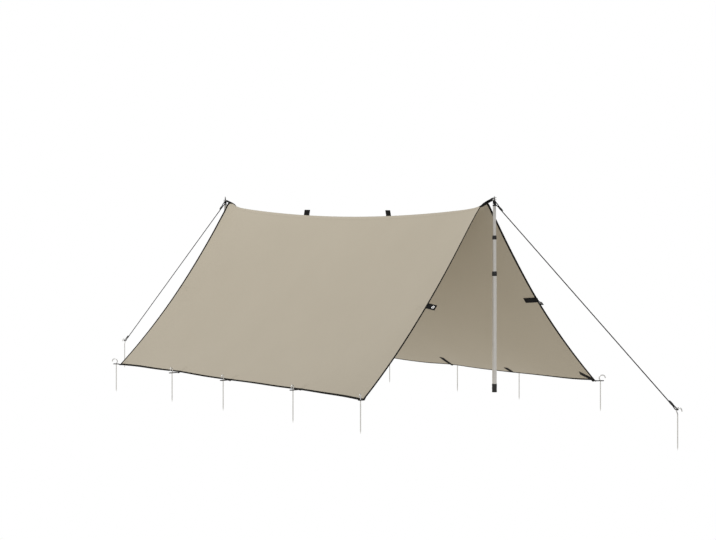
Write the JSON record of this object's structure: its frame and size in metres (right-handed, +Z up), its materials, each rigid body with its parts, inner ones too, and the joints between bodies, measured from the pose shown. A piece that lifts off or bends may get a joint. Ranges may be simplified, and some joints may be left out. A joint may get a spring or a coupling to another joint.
{
  "type": "camping tarp",
  "caption": "Square cotton tarp pitched as a ridge shelter between two telescopic poles, with guy lines and wire pegs.",
  "frame": {"origin": "middle of the front pole's foot, on the ground", "axes": "+X along the ridge, outwards past the front pole to its guy peg; +Y across the ridge; +Z up"},
  "size_m": [6.3686, 2.0961, 1.43],
  "materials": {
    "cotton_cloth": "matt woven",
    "edge_tape": "matt woven",
    "black_webbing": "ribbed weave",
    "guy_cord": "braided",
    "peg_wire": "galvanised, semi-gloss",
    "pole_tube": "satin",
    "black_plastic": "satin",
    "foot_rubber": "matt",
    "pole_head": "black satin"
  },
  "bodies": {
    "root": {"far_eave_binding": "edge_tape", "far_front_gable_tab": "black_webbing", "far_panel": "cotton_cloth", "far_peg_1": "peg_wire", "far_peg_2": "peg_wire", "far_peg_3": "peg_wire", "far_peg_4": "peg_wire", "far_peg_5": "peg_wire", "far_peg_loop_1": "black_webbing", "far_peg_loop_2": "black_webbing", "far_peg_loop_3": "black_webbing", "far_peg_loop_4": "black_webbing", "far_peg_loop_5": "black_webbing", "far_rear_gable_tab": "black_webbing", "front_gable_binding": "edge_tape", "front_guy_line": "guy_cord", "front_guy_peg": "peg_wire", "front_lower_slider": "black_plastic", "front_pole_foot": "foot_rubber", "front_pole_lower_collar": "black_plastic", "front_pole_lower_tube": "pole_tube", "front_pole_middle_tube": "pole_tube", "front_pole_tip": "pole_head", "front_pole_upper_collar": "black_plastic", "front_pole_upper_tube": "pole_tube", "front_ridge_strap": "black_webbing", "front_ridge_tab": "black_webbing", "front_upper_slider": "black_plastic", "near_eave_binding": "edge_tape", "near_front_gable_tab": "black_webbing", "near_panel": "cotton_cloth", "near_peg_1": "peg_wire", "near_peg_2": "peg_wire", "near_peg_3": "peg_wire", "near_peg_4": "peg_wire", "near_peg_5": "peg_wire", "near_peg_loop_1": "black_webbing", "near_peg_loop_2": "black_webbing", "near_peg_loop_3": "black_webbing", "near_peg_loop_4": "black_webbing", "near_peg_loop_5": "black_webbing", "near_rear_gable_tab": "black_webbing", "rear_gable_binding": "edge_tape", "rear_guy_line": "guy_cord", "rear_guy_peg": "peg_wire", "rear_lower_slider": "black_plastic", "rear_pole_foot": "foot_rubber", "rear_pole_lower_collar": "black_plastic", "rear_pole_lower_tube": "pole_tube", "rear_pole_middle_tube": "pole_tube", "rear_pole_tip": "pole_head", "rear_pole_upper_collar": "black_plastic", "rear_pole_upper_tube": "pole_tube", "rear_ridge_strap": "black_webbing", "rear_ridge_tab": "black_webbing", "rear_upper_slider": "black_plastic"}
  },
  "joints": []
}
